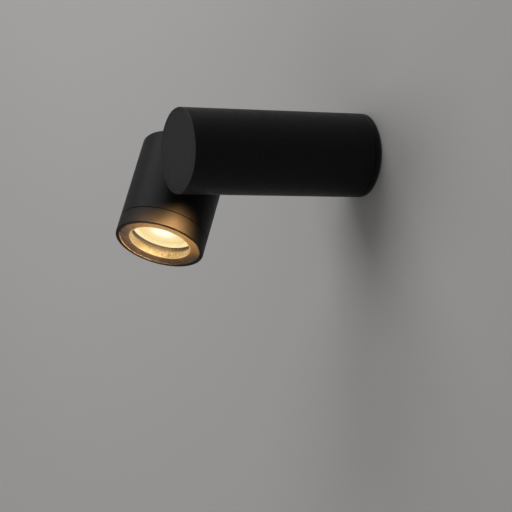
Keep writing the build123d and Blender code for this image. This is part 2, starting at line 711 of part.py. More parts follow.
def head_end_cap():
    """The plug at the top of the head, with two bosses for the holder's strap."""
    cap = end_cap(HEAD_BORE, HEAD_LENGTH)
    for side in (-1, 1):
        place = Pos(0, side * STRAP_HOLE_SPACING / 2, 0)
        cap += place * disc(BOSS_DIAMETER / 2, STRAP_TOP, CAP_IN_HEAD + CAP_RECESS)
    for side in (-1, 1):
        place = Pos(0, side * STRAP_HOLE_SPACING / 2, 0)
        cap -= place * disc(SCREW / 2 + SEAT_CLEARANCE, STRAP_TOP, STRAP_LOW + SCREW_GRIP + EDGE)
    return HEAD_FRAME * cap


def head_cap_seal():
    return HEAD_FRAME * seal(HEAD_BORE, CAP_SEAL_SECTION, HEAD_LENGTH - CAP_THICKNESS / 2)


def holder_strap():
    length = STRAP_HOLE_SPACING + 2 * STRAP_END + STRAP_WIDTH / 2
    strap = Rot(0, 0, 90) * extrude(SlotOverall(length, STRAP_WIDTH), STRAP_THICKNESS)
    strap = Pos(0, 0, STRAP_LOW) * strap
    for spacing in (STRAP_HOLE_SPACING, HOLDER_SCREW_SPACING):
        for side in (-1, 1):
            hole = disc(SCREW / 2 + SEAT_CLEARANCE, STRAP_LOW, STRAP_TOP)
            strap -= Pos(0, side * spacing / 2, 0) * hole
    return HEAD_FRAME * strap


def strap_screws():
    screws = []
    for side in (-1, 1):
        place = Pos(0, side * STRAP_HOLE_SPACING / 2, STRAP_LOW) * Rot(180, 0, 0)
        screws.append(HEAD_FRAME * (place * pan_screw(SCREW_GRIP)))
    return Compound(screws)


def lampholder():
    """A twist-lock holder: each pin head goes in at a round hole and hooks behind a slot."""
    holder = disc(HOLDER_DIAMETER / 2, HOLDER_LOW, STRAP_LOW)
    face_end = HOLDER_LOW + HOLDER_FACE
    circle = PIN_SPACING / 2
    stem = PIN_DIAMETER / 2 + PIN_PLAY
    head = PIN_HEAD_DIAMETER / 2 + PIN_PLAY
    for turn in (0, 180):
        start = turn - BULB_TWIST
        for half, low, high in ((stem, HOLDER_LOW, face_end), (head, face_end, CHAMBER_END)):
            holder -= arc_cut(circle - half, circle + half, low, high, start, BULB_TWIST)
        locked = Rot(0, 0, turn) * Pos(circle, 0, 0)
        entry = Rot(0, 0, start) * Pos(circle, 0, 0)
        holder -= locked * disc(stem, HOLDER_LOW, face_end)
        holder -= locked * disc(head, face_end, CHAMBER_END)
        holder -= entry * disc(head, HOLDER_LOW, CHAMBER_END)
        pocket = CONTACT_LOW + CONTACT_HEIGHT
        holder -= locked * disc(CONTACT_DIAMETER / 2 + SEAT_CLEARANCE, CHAMBER_END, pocket)
    for side in (-1, 1):
        place = Pos(0, side * HOLDER_SCREW_SPACING / 2, 0)
        holder -= place * disc(SCREW / 2 + SEAT_CLEARANCE, HOLDER_LOW, STRAP_LOW)
        sunk = HOLDER_LOW + SCREW_HEAD_HEIGHT + EDGE
        holder -= place * disc(SCREW_HEAD / 2 + DRILL_CLEARANCE, HOLDER_LOW, sunk)
    holder -= block(
        (2 * LEAD_POCKET_DEPTH, LEAD_POCKET_WIDTH, LEAD_POCKET_HEIGHT),
        (HOLDER_DIAMETER / 2, 0, (HOLDER_LOW + STRAP_LOW) / 2),
    )
    return HEAD_FRAME * holder


def holder_contacts():
    contacts = []
    for side in (-1, 1):
        contact = disc(CONTACT_DIAMETER / 2, CONTACT_LOW, CONTACT_LOW + CONTACT_HEIGHT)
        contacts.append(HEAD_FRAME * (Pos(side * PIN_SPACING / 2, 0, 0) * contact))
    return Compound(contacts)


def holder_screws():
    screws = []
    seat = HOLDER_LOW + SCREW_HEAD_HEIGHT + EDGE
    for side in (-1, 1):
        place = Pos(0, side * HOLDER_SCREW_SPACING / 2, seat) * Rot(180, 0, 0)
        screws.append(HEAD_FRAME * (place * pan_screw(STRAP_TOP - seat)))
    return Compound(screws)


def holder_leads():
    """Two leads from the spindle's bore up the head's wall and into the holder's side."""
    level = (HOLDER_LOW + STRAP_LOW) / 2
    start = HEAD_OFFSET - WASHER_MIDDLE - CABLE_BREAK / 2
    end = HOLDER_DIAMETER / 2 - LEAD_POCKET_DEPTH + CABLE_BREAK
    rise = level - PIVOT_IN_HEAD
    bend = min(LEAD_BEND, BEND_SHARE * rise, BEND_SHARE * (LEAD_PLACE - end))
    leads = []
    for y in (-LEAD_OFFSET, LEAD_OFFSET):
        points = [
            (start, y, PIVOT_IN_HEAD),
            (LEAD_PLACE, y, PIVOT_IN_HEAD),
            (LEAD_PLACE, y, level),
            (end, y, level),
        ]
        leads.append(HEAD_FRAME * conductor(points, CORE_DIAMETER, bend))
    return Compound(leads)


# Bulb
def bulb_body():
    rim_end = BULB_FRONT + BULB_RIM
    waist = ((BULB_RADIUS + NECK_RADIUS) / 2 + EDGE, (rim_end + NECK_START) / 2)
    lens_radius = LENS_DIAMETER / 2 + SEAT_CLEARANCE
    lens_seat = BULB_FRONT + LENS_SUNK + LENS_THICKNESS
    outline = Polyline(
        (0, NECK_START),
        (0, lens_seat),
        (lens_radius, lens_seat),
        (lens_radius, BULB_FRONT),
        (BULB_RADIUS - EDGE, BULB_FRONT),
        (BULB_RADIUS, BULB_FRONT + EDGE),
        (BULB_RADIUS, rim_end),
    )
    outline += ThreePointArc((BULB_RADIUS, rim_end), waist, (NECK_RADIUS, NECK_START))
    outline += Line((NECK_RADIUS, NECK_START), (0, NECK_START))
    return HEAD_FRAME * revolve(Plane.XZ * make_face(outline), Axis.Z)


def bulb_base():
    radius = BULB_BASE_DIAMETER / 2
    base = turned(
        (0, NECK_START),
        (radius, NECK_START),
        (radius, BULB_TOP - 2 * EDGE),
        (radius - 2 * EDGE, BULB_TOP),
        (0, BULB_TOP),
    )
    sides = block(
        (BULB_BASE_DIAMETER, BULB_BASE_FLATS, BULB_BASE_LENGTH),
        (0, 0, BULB_TOP - BULB_BASE_LENGTH / 2),
    )
    return HEAD_FRAME * (base & sides)


def bulb_lens():
    radius = LENS_DIAMETER / 2
    low = BULB_FRONT + LENS_SUNK
    return HEAD_FRAME * disc(radius, low, low + LENS_THICKNESS)


def bulb_pins():
    tip = BULB_TOP + PIN_LENGTH
    shoulder = tip - PIN_HEAD_LENGTH
    pin = turned(
        (0, BULB_TOP),
        (PIN_DIAMETER / 2, BULB_TOP),
        (PIN_DIAMETER / 2, shoulder),
        (PIN_HEAD_DIAMETER / 2, shoulder),
        (PIN_HEAD_DIAMETER / 2, tip - EDGE),
        (PIN_HEAD_DIAMETER / 2 - EDGE, tip),
        (0, tip),
    )
    return Compound([HEAD_FRAME * (Pos(side * PIN_SPACING / 2, 0, 0) * pin) for side in (-1, 1)])


# Front ring and glass
def front_ring():
    """The ring that screws into the head: rim, glass seat, lip and the spigot with the thread's root."""
    opening = OPENING_DIAMETER / 2
    body = turned(
        (RECESS_RADIUS, RIM_EDGE),
        (RECESS_RADIUS + RIM_EDGE, 0),
        (HEAD_RADIUS, 0),
        (HEAD_RADIUS, RING_LENGTH - SEAM_EDGE),
        (HEAD_RADIUS - SEAM_EDGE, RING_LENGTH),
        (SPIGOT_RADIUS, RING_LENGTH),
        (SPIGOT_RADIUS, RING_LENGTH + THREAD_START),
        (THREAD_ROOT, RING_LENGTH + THREAD_START + THREAD_DEPTH),
        (THREAD_ROOT, SPIGOT_END),
        (SPIGOT_BORE, SPIGOT_END),
        (SPIGOT_BORE, LIP_END),
        (opening, LIP_END),
        (opening, GLASS_SEAT),
        (RECESS_RADIUS, GLASS_SEAT),
    )
    body = soften(body, HEAD_RADIUS, 0)
    groove = seal_groove(HEAD_BORE, RING_SEAL_SECTION, RING_LENGTH + RING_SEAL_PLACE)
    return HEAD_FRAME * (body - groove)


def ring_seal():
    return HEAD_FRAME * seal(HEAD_BORE, RING_SEAL_SECTION, RING_LENGTH + RING_SEAL_PLACE)


def front_glass():
    glass = turned(
        (0, GLASS_SUNK),
        (GLASS_RADIUS - GLASS_EDGE, GLASS_SUNK),
        (GLASS_RADIUS, GLASS_SUNK + GLASS_EDGE),
        (GLASS_RADIUS, GLASS_BACK),
        (0, GLASS_BACK),
    )
    return HEAD_FRAME * glass


def glass_gasket():
    inner = GLASS_RADIUS - GLASS_GASKET_WIDTH
    return HEAD_FRAME * ring(GLASS_RADIUS, inner, GLASS_BACK, GLASS_BACK + GLASS_GASKET)


PIECES = [
    wall_gasket,
    wall_plate,
    hub_seal,
    cable_grommet,
    terminal_bracket,
    terminal_block,
    terminal_cages,
    clamp_screws,
    terminal_screws,
    earth_post,
    earth_lead,
    base_leads,
    arm_tube,
    arm_end_cap,
    arm_cap_seal,
    swivel_screw,
    arm_cable,
    arm_collar,
    stop_pin,
    spindle_seal,
    arm_pad,
    head_collar,
    head_pad,
    friction_washer,
    pivot_spindle,
    pivot_washer,
    disc_spring,
    pivot_nut,
    head_shell,
    head_end_cap,
    head_cap_seal,
    holder_strap,
    strap_screws,
    lampholder,
    holder_contacts,
    holder_screws,
    holder_leads,
    bulb_body,
    bulb_base,
    bulb_lens,
    bulb_pins,
    front_ring,
    ring_seal,
    front_glass,
    glass_gasket,
]

os.makedirs("parts", exist_ok=True)
for piece in PIECES:
    export_step(piece(), f"parts/{piece.__name__}.step")
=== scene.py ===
import json
import math

import bmesh
import bpy
from mathutils import Matrix, Quaternion, Vector


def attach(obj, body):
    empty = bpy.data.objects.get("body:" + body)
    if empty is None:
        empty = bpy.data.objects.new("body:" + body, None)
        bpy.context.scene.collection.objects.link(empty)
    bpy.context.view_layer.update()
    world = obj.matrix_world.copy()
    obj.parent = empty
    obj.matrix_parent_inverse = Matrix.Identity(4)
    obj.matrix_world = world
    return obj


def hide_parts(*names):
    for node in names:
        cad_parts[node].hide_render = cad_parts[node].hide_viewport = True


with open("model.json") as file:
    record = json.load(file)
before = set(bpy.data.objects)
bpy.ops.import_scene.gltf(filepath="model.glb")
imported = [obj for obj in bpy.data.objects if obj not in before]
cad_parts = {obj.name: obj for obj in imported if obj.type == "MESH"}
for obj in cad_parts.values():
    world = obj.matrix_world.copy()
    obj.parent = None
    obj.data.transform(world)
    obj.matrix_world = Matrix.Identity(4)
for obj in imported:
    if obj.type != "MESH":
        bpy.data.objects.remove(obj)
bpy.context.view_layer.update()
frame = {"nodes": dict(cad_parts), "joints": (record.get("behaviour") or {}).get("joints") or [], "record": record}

# Outdoor wall lamp: a black arm out of the wall and a lit spot head on its side.
# Metres, in the frame of the solids: X along the pivot, Y into the wall, Z up.
MM = 0.001
WELD = 1e-6  # points nearer to each other than this are one

# The photograph's view
CAMERA_AIM = Vector((-0.0311, -0.0879, -0.0721))  # what lies at the middle of the picture
CAMERA_AZIMUTH = 62.83
CAMERA_ELEVATION = -16.96
CAMERA_ROLL = -8.45
CAMERA_DISTANCE = 1.4676
CAMERA_SENSOR = 36.0
CAMERA_LENS = 135.6

# Stage and its light
WALL_GAP = 0.5 * MM  # wall behind the lamp's back face
WALL_NEAR = 3.0 * MM  # light that has come less far than this passes the paint
STAGE_REACH = 4.0
FLOOR_LEVEL = -1.5
SKY_STRENGTH = 0.28
TOP_LIGHT = {"place": (0.1, -0.6, 1.5), "size": 1.4, "power": 22.0}
FRONT_LIGHT = {"place": (-0.9, -1.9, 0.5), "size": 1.2, "power": 16.0}

# Head: the lit face's middle and the way it looks, from the joint that turns the ring
JOINTS = {joint["name"]: joint for joint in frame["joints"]}
FACE = Vector(JOINTS["ring_unscrew"]["pos_m"])
OUTWARDS = Vector(JOINTS["ring_unscrew"]["axis"]).normalized()
SIDEWAYS = Vector((1, 0, 0))

# Warm light that falls back on the ring, from beside the head and nearly level with its face
GLOW_SIDE = Vector((0.999, -0.02, -0.035))
GLOW_DISTANCE = 0.13
GLOW_AIM = FACE + Vector((0, -9, -8)) * MM
GLOW_LIGHT = {"size": 0.038, "power": 0.2, "shade": "#ffc27a", "spread": 17}

# Ring's thread, behind the lit face
THREAD_PITCH = 1.5 * MM
THREAD_CREST = 32.15 * MM
THREAD_ROOT = 31.4 * MM
THREAD_LOW = 16.6 * MM
THREAD_HIGH = 20.8 * MM
THREAD_BASE = 1.25 * MM
THREAD_TOP = 0.3 * MM
THREAD_SUNK = 0.2 * MM
THREAD_STEPS = 72  # per turn

# Bulb's lens, behind the lit face
LENS_FRONT = 13.2 * MM
LENS_BACK = 15.6 * MM
LENS_RADIUS = 23.8 * MM
LENS_FLAT = 2.6 * MM  # plain band round the optic
LENS_RIDGE = 2.1 * MM
LENS_RIDGE_DEPTH = 0.5 * MM
LENS_DOME = 4.4 * MM
LENS_DOME_STEPS = 4
LENS_STEPS = 128
LENS_GLOW = 1.25
# Painted glow of the bulb's rim: full at the front rim, gone by RIM_BACK
RIM_FRONT = 13.0 * MM  # bulb's front rim, and where the light in it has died away
RIM_BACK = 17.0 * MM

# Gasket behind the glass, and where the ring's coat gives way to bare metal; the bare band reaching round the
# glass draws a painted bright edge line
GASKET_BORE = 23.8 * MM
GASKET_RIM = 31.7 * MM
BARE_RADIUS = 31.55 * MM
COATED_RADIUS = 31.9 * MM

# Scales that measure a place in the head in millimetres, across its axis or along it.
# FLAT shrinks a direction to nothing, so that only the distance in the others is left.
FLAT = 1000.0
ACROSS = (MM, MM, FLAT)
ALONG = (FLAT, FLAT, MM)

# Sockets of a Mix node, whose names repeat
FACTOR = 0
FIRST_NUMBER, SECOND_NUMBER, MIXED_NUMBER = 2, 3, 0
FIRST_COLOUR, SECOND_COLOUR, MIXED_COLOUR = 6, 7, 2


def colour(shade):
    """An sRGB hex value as linear colour."""
    parts = [int(shade[i : i + 2], 16) / 255 for i in (1, 3, 5)]
    return [p / 12.92 if p <= 0.04045 else ((p + 0.055) / 1.055) ** 2.4 for p in parts] + [1.0]


def per_metre(size):
    """The texture scale whose features have this size in millimetres."""
    return 1 / (size * MM)


def add(tree, kind, inputs=(), stops=(), **settings):
    """Adds a node with its settings; each input is a socket to link or a value to set.

    Inputs go by name, or by number where a node's names repeat.
    """
    made = tree.nodes.new(kind)
    for name, value in settings.items():
        setattr(made, name, value)
    for name, value in dict(inputs).items():
        if isinstance(value, bpy.types.NodeSocket):
            tree.links.new(value, made.inputs[name])
        else:
            made.inputs[name].default_value = value
    for i, (place, shade) in enumerate(stops):
        ramp = made.color_ramp.elements
        stop = ramp[i] if i < 2 else ramp.new(place)  # a new ramp has two stops
        stop.position = place
        stop.color = colour(shade)
    return made


def new_tree(name):
    """A new material and its empty node tree."""
    made = bpy.data.materials.new(name)
    made.use_nodes = True
    made.node_tree.nodes.clear()
    return made, made.node_tree


def in_millimetres(tree, place, scale):
    """Millimetres in the head: across, from its axis, or along, from its lit face."""
    square = add(
        tree,
        "ShaderNodeMapping",
        {
            "Vector": place,
            "Location": FACE,
            "Rotation": OUTWARDS.to_track_quat("Z", "Y").to_euler(),
            "Scale": scale,
        },
        vector_type="TEXTURE",
    )
    return add(
        tree, "ShaderNodeVectorMath", {"Vector": square.outputs["Vector"]}, operation="LENGTH"
    ).outputs["Value"]


def black_powder_coat(name, bare_bore=False):
    """Aluminium under a baked black powder coat: a satin skin with sandy grain and faint ripple.

    The real grain is about 0.2 mm; it is drawn coarser so that it shows. In a bare bore the coat
    is masked off and the cast metal shows, mottled, with a painted warm gold tone for the bulb's light.
    """
    made, tree = new_tree(name)
    place = add(tree, "ShaderNodeTexCoord").outputs["Object"]
    grain = add(
        tree, "ShaderNodeTexNoise", {"Vector": place, "Scale": per_metre(0.8), "Detail": 3.0}
    ).outputs["Fac"]
    ripple = add(
        tree, "ShaderNodeTexNoise", {"Vector": place, "Scale": per_metre(6.0), "Detail": 2.0}
    ).outputs["Fac"]
    tone = add(
        tree,
        "ShaderNodeValToRGB",
        {"Fac": grain},
        stops=[(0.3, "#080808"), (0.7, "#181819")],
    ).outputs["Color"]
    sheen = add(
        tree,
        "ShaderNodeMapRange",
        {"Value": ripple, "From Min": 0.3, "From Max": 0.7, "To Min": 0.42, "To Max": 0.52},
    ).outputs["Result"]
    waves = add(
        tree, "ShaderNodeBump", {"Height": ripple, "Distance": 0.02 * MM, "Strength": 0.5}
    ).outputs["Normal"]
    sand = add(
        tree,
        "ShaderNodeBump",
        {"Height": grain, "Normal": waves, "Distance": 0.05 * MM, "Strength": 0.8},
    ).outputs["Normal"]
    metallic = 0.0
    # The bore and the lip's edge are masked to bare metal; at the lip this gives a painted bright edge line
    if bare_bore:
        metallic = add(
            tree,
            "ShaderNodeMapRange",
            {
                "Value": in_millimetres(tree, place, ACROSS),
                "From Min": BARE_RADIUS / MM,
                "From Max": COATED_RADIUS / MM,
                "To Min": 1.0,
                "To Max": 0.0,
            },
        ).outputs["Result"]
        # painted warm light: the gold tone stands for the bulb's warm light on the bore; the mottle is its grain
        painted_warm_metal = add(
            tree,
            "ShaderNodeValToRGB",
            {"Fac": grain},
            stops=[(0.36, "#a3865c"), (0.5, "#dfcba2"), (0.64, "#fbf0d6")],
        ).outputs["Color"]
        tone = add(
            tree,
            "ShaderNodeMix",
            {FACTOR: metallic, FIRST_COLOUR: tone, SECOND_COLOUR: painted_warm_metal},
            data_type="RGBA",
        ).outputs[MIXED_COLOUR]
        sheen = add(
            tree,
            "ShaderNodeMix",
            {FACTOR: metallic, FIRST_NUMBER: sheen, SECOND_NUMBER: 0.38},
        ).outputs[MIXED_NUMBER]
    shader = add(
        tree,
        "ShaderNodeBsdfPrincipled",
        {
            "Base Color": tone,
            "Roughness": sheen,
            "Normal": sand,
            "Metallic": metallic,
            "Specular IOR Level": 0.12,
        },
    )
    add(tree, "ShaderNodeOutputMaterial", {"Surface": shader.outputs["BSDF"]})
    return made


def metal(name, dark, light, smooth, rough, grain):
    """A machined metal: fine tool marks, grain millimetres wide, vary its colour and shine."""
    made, tree = new_tree(name)
    place = add(tree, "ShaderNodeTexCoord").outputs["Object"]
    marks = add(
        tree, "ShaderNodeTexNoise", {"Vector": place, "Scale": per_metre(grain), "Detail": 4.0}
    ).outputs["Fac"]
    tone = add(tree, "ShaderNodeValToRGB", {"Fac": marks}, stops=[(0.3, dark), (0.7, light)])
    shine = add(tree, "ShaderNodeMapRange", {"Value": marks, "To Min": smooth, "To Max": rough})
    cuts = add(
        tree, "ShaderNodeBump", {"Height": marks, "Distance": 0.01 * MM, "Strength": 0.5}
    )
    shader = add(
        tree,
        "ShaderNodeBsdfPrincipled",
        {
            "Base Color": tone.outputs["Color"],
            "Roughness": shine.outputs["Result"],
            "Normal": cuts.outputs["Normal"],
            "Metallic": 1.0,
        },
    )
    add(tree, "ShaderNodeOutputMaterial", {"Surface": shader.outputs["BSDF"]})
    return made


def moulded(name, dark, light, smooth, rough, grain, relief):
    """A moulded plastic, rubber or glazed body: a soft mottle, and the mould's fine grain.

    The grain's width and relief are in millimetres.
    """
    made, tree = new_tree(name)
    place = add(tree, "ShaderNodeTexCoord").outputs["Object"]
    skin = add(
        tree, "ShaderNodeTexNoise", {"Vector": place, "Scale": per_metre(grain), "Detail": 3.0}
    ).outputs["Fac"]
    tone = add(tree, "ShaderNodeValToRGB", {"Fac": skin}, stops=[(0.3, dark), (0.7, light)])
    shine = add(tree, "ShaderNodeMapRange", {"Value": skin, "To Min": smooth, "To Max": rough})
    dimples = add(
        tree, "ShaderNodeBump", {"Height": skin, "Distance": relief * MM, "Strength": 0.6}
    )
    shader = add(
        tree,
        "ShaderNodeBsdfPrincipled",
        {
            "Base Color": tone.outputs["Color"],
            "Roughness": shine.outputs["Result"],
            "Normal": dimples.outputs["Normal"],
        },
    )
    add(tree, "ShaderNodeOutputMaterial", {"Surface": shader.outputs["BSDF"]})
    return made


def toughened_glass():
    """Clear toughened float glass: a hard gloss, blurred in places by a thin film of dust."""
    made, tree = new_tree("toughened_glass")
    tint = colour("#f4faf7")
    place = add(tree, "ShaderNodeTexCoord").outputs["Object"]
    film = add(
        tree, "ShaderNodeTexNoise", {"Vector": place, "Scale": per_metre(9.0), "Detail": 4.0}
    ).outputs["Fac"]
    blur = add(
        tree,
        "ShaderNodeMapRange",
        {"Value": film, "From Min": 0.4, "From Max": 0.75, "To Min": 0.0, "To Max": 0.04},
    )
    shader = add(
        tree,
        "ShaderNodeBsdfPrincipled",
        {
            "Base Color": tint,
            "Roughness": blur.outputs["Result"],
            "IOR": 1.52,
            "Transmission Weight": 1.0,
        },
    )
    clear = add(tree, "ShaderNodeBsdfTransparent", {"Color": tint})
    path = add(tree, "ShaderNodeLightPath")
    shown = add(
        tree,
        "ShaderNodeMixShader",
        {0: path.outputs["Is Shadow Ray"], 1: shader.outputs["BSDF"], 2: clear.outputs["BSDF"]},
    )
    add(tree, "ShaderNodeOutputMaterial", {"Surface": shown.outputs["Shader"]})
    return made


def silicone_with_painted_glow():
    """Clear cast silicone behind the glass: amber, with a painted glow of the lamp's light from its bore.

    On the side that the warm light falls on, more painted warm light is filled in as emission.
    """
    made, tree = new_tree("silicone_with_painted_glow")
    place = add(tree, "ShaderNodeTexCoord").outputs["Object"]
    clouds = add(
        tree, "ShaderNodeTexNoise", {"Vector": place, "Scale": per_metre(2.5), "Detail": 3.0}
    )
    tone = add(
        tree,
        "ShaderNodeValToRGB",
        {"Fac": clouds.outputs["Fac"]},
        stops=[(0.3, "#1d130a"), (0.7, "#2a1c0e")],
    )
    outwards = add(
        tree,
        "ShaderNodeMapRange",
        {
            "Value": in_millimetres(tree, place, ACROSS),
            "From Min": GASKET_BORE / MM,
            "From Max": GASKET_RIM / MM,
        },
    )
    # painted glow: emission that is bright at the bore and dims outwards, standing for the lamp's light in the
    # silicone
    painted_glow = add(
        tree,
        "ShaderNodeValToRGB",
        {"Fac": outwards.outputs["Result"]},
        stops=[
            (0.0, "#ffe2a6"),
            (0.05, "#b8843f"),
            (0.12, "#774a1c"),
            (0.35, "#56310f"),
            (1.0, "#33200c"),
        ],
    )
    # painted warm light: the side towards the warm ring light is filled in brighter, as emission
    across = add(
        tree, "ShaderNodeVectorMath", {0: place, 1: GLOW_SIDE}, operation="DOT_PRODUCT"
    )
    middle = FACE.dot(GLOW_SIDE)
    painted_warm_side = add(
        tree,
        "ShaderNodeMapRange",
        {
            "Value": across.outputs["Value"],
            "From Min": middle,
            "From Max": middle + GASKET_RIM,
        },
    )
    shown = add(
        tree,
        "ShaderNodeMix",
        {
            FACTOR: painted_warm_side.outputs["Result"],
            FIRST_COLOUR: painted_glow.outputs["Color"],
            SECOND_COLOUR: colour("#cc9346"),
        },
        data_type="RGBA",
    )
    shader = add(
        tree,
        "ShaderNodeBsdfPrincipled",
        {
            "Base Color": tone.outputs["Color"],
            "Roughness": 0.45,
            "IOR": 1.41,
            "Emission Color": shown.outputs[MIXED_COLOUR],
            "Emission Strength": 1.0,
        },
    )
    add(tree, "ShaderNodeOutputMaterial", {"Surface": shader.outputs["BSDF"]})
    return made


def lit_lens():
    """The bulb's moulded lens, lit from behind: white hot in the middle, warm towards its rim."""
    made, tree = new_tree("lit_lens")
    place = add(tree, "ShaderNodeTexCoord").outputs["Object"]
    outwards = add(
        tree,
        "ShaderNodeMapRange",
        {"Value": in_millimetres(tree, place, ACROSS), "From Max": LENS_RADIUS / MM},
    )
    warmth = add(
        tree,
        "ShaderNodeValToRGB",
        {"Fac": outwards.outputs["Result"]},
        stops=[
            (0.0, "#fffbee"),
            (0.25, "#fff8e0"),
            (0.5, "#f9d7a3"),
            (0.78, "#e7c987"),
            (0.92, "#fbe4ac"),
        ],
    )
    shader = add(
        tree,
        "ShaderNodeBsdfPrincipled",
        {
            "Base Color": colour("#38342d"),
            "Roughness": 0.35,
            "Emission Color": warmth.outputs["Color"],
            "Emission Strength": LENS_GLOW,
        },
    )
    add(tree, "ShaderNodeOutputMaterial", {"Surface": shader.outputs["BSDF"]})
    return made


def bulb_body_with_painted_glow():
    """White bulb plastic; its front rim has a painted glow for the lens light shining through it."""
    made, tree = new_tree("bulb_body_with_painted_glow")
    place = add(tree, "ShaderNodeTexCoord").outputs["Object"]
    skin = add(
        tree, "ShaderNodeTexNoise", {"Vector": place, "Scale": per_metre(0.9), "Detail": 3.0}
    )
    tone = add(
        tree,
        "ShaderNodeValToRGB",
        {"Fac": skin.outputs["Fac"]},
        stops=[(0.3, "#dedcd5"), (0.7, "#eae8e2")],
    )
    backwards = add(
        tree,
        "ShaderNodeMapRange",
        {
            "Value": in_millimetres(tree, place, ALONG),
            "From Min": RIM_FRONT / MM,
            "From Max": RIM_BACK / MM,
        },
    )
    # painted glow: emission at the front rim, fading backwards, for the lens light through the plastic
    painted_glow = add(
        tree,
        "ShaderNodeValToRGB",
        {"Fac": backwards.outputs["Result"]},
        stops=[(0.0, "#f2d69c"), (0.4, "#b88a5c"), (1.0, "#000000")],
    )
    shader = add(
        tree,
        "ShaderNodeBsdfPrincipled",
        {
            "Base Color": tone.outputs["Color"],
            "Roughness": 0.45,
            "Emission Color": painted_glow.outputs["Color"],
            "Emission Strength": 1.0,
        },
    )
    add(tree, "ShaderNodeOutputMaterial", {"Surface": shader.outputs["BSDF"]})
    return made


def pale_paint(name, shade):
    """Matt paint of the stage.

    From behind, and right at the lamp's back, it is clear, so that the back can be seen.
    """
    made, tree = new_tree(name)
    behind = add(tree, "ShaderNodeNewGeometry").outputs["Backfacing"]
    length = add(tree, "ShaderNodeLightPath").outputs["Ray Length"]
    near = add(tree, "ShaderNodeMath", {0: length, 1: WALL_NEAR}, operation="LESS_THAN")
    see_through = add(
        tree, "ShaderNodeMath", {0: behind, 1: near.outputs["Value"]}, operation="MAXIMUM"
    )
    paint = add(tree, "ShaderNodeBsdfDiffuse", {"Color": colour(shade)})
    clear = add(tree, "ShaderNodeBsdfTransparent")
    shown = add(
        tree,
        "ShaderNodeMixShader",
        {0: see_through.outputs["Value"], 1: paint.outputs["BSDF"], 2: clear.outputs["BSDF"]},
    )
    add(tree, "ShaderNodeOutputMaterial", {"Surface": shown.outputs["Shader"]})
    return made


def finished(name, bm, finish):
    """Turns a bmesh into an object with one material."""
    mesh = bpy.data.meshes.new(name)
    bm.to_mesh(mesh)
    bm.free()
    mesh.materials.append(finish)
    made = bpy.data.objects.new(name, mesh)
    bpy.context.scene.collection.objects.link(made)
    return made


def in_head(radius, depth):
    """A point of the head's section, at this distance from its axis and behind its lit face."""
    return FACE + SIDEWAYS * radius - OUTWARDS * depth


def outline(bm, points):
    """Vertices along a section of the head, joined by edges."""
    corners = [bm.verts.new(in_head(*point)) for point in points]
    return corners, [bm.edges.new(pair) for pair in zip(corners, corners[1:])]


def ring_thread():
    """The ring's outside thread: one ridge wound round its spigot and cut off flat at both ends."""
    bm = bmesh.new()
    start = THREAD_LOW - THREAD_PITCH
    foot = THREAD_ROOT - THREAD_SUNK
    section = [
        (foot, start - THREAD_BASE / 2),
        (THREAD_CREST, start - THREAD_TOP / 2),
        (THREAD_CREST, start + THREAD_TOP / 2),
        (foot, start + THREAD_BASE / 2),
    ]
    corners, edges = outline(bm, section)
    edges.append(bm.edges.new((corners[-1], corners[0])))
    turns = math.ceil((THREAD_HIGH - start) / THREAD_PITCH) + 1
    bmesh.ops.spin(
        bm,
        geom=corners + edges,
        cent=FACE,
        axis=OUTWARDS,
        dvec=-OUTWARDS * THREAD_PITCH / THREAD_STEPS,
        angle=turns * math.tau,
        steps=turns * THREAD_STEPS,
    )
    for depth, side in ((THREAD_LOW, 1), (THREAD_HIGH, -1)):
        cut = bmesh.ops.bisect_plane(
            bm,
            geom=bm.verts[:] + bm.edges[:] + bm.faces[:],
            plane_co=in_head(0, depth),
            plane_no=OUTWARDS * side,
            clear_outer=True,
        )
        rim = [item for item in cut["geom_cut"] if isinstance(item, bmesh.types.BMEdge)]
        bmesh.ops.holes_fill(bm, edges=rim)
    bmesh.ops.remove_doubles(bm, verts=bm.verts[:], dist=WELD)
    bmesh.ops.recalc_face_normals(bm, faces=bm.faces[:])
    return finished("ring_thread", bm, FINISHES["coated_aluminium"])


def bulb_optic():
    """The bulb's lens: a plain band, ridged rings that steer the light, and a middle dome."""
    bm = bmesh.new()
    section = [(0, LENS_BACK), (LENS_RADIUS, LENS_BACK), (LENS_RADIUS, LENS_FRONT)]
    radius = LENS_RADIUS - LENS_FLAT
    section.append((radius, LENS_FRONT))
    while radius - LENS_RIDGE > LENS_DOME:
        section.append((radius, LENS_FRONT + LENS_RIDGE_DEPTH))
        radius -= LENS_RIDGE
        section.append((radius, LENS_FRONT))
    section.append((radius, LENS_FRONT + LENS_RIDGE_DEPTH))
    for step in reversed(range(LENS_DOME_STEPS)):
        angle = step * math.pi / 2 / LENS_DOME_STEPS
        sunk = LENS_RIDGE_DEPTH * (1 - math.cos(angle))
        section.append((radius * math.sin(angle), LENS_FRONT + sunk))
    corners, edges = outline(bm, section)
    bmesh.ops.spin(
        bm,
        geom=corners + edges,
        cent=FACE,
        axis=OUTWARDS,
        angle=math.tau,
        steps=LENS_STEPS,
        use_merge=True,
    )
    bmesh.ops.remove_doubles(bm, verts=bm.verts[:], dist=WELD)
    bmesh.ops.recalc_face_normals(bm, faces=bm.faces[:])
    return finished("bulb_optic", bm, FINISHES["lit_lens"])


def stage_plane(name, centre, turn, finish):
    """One flat side of the stage."""
    bm = bmesh.new()
    bmesh.ops.create_grid(bm, x_segments=1, y_segments=1, size=STAGE_REACH)
    bmesh.ops.transform(bm, matrix=Matrix.Translation(centre) @ turn, verts=bm.verts[:])
    finished(name, bm, finish)


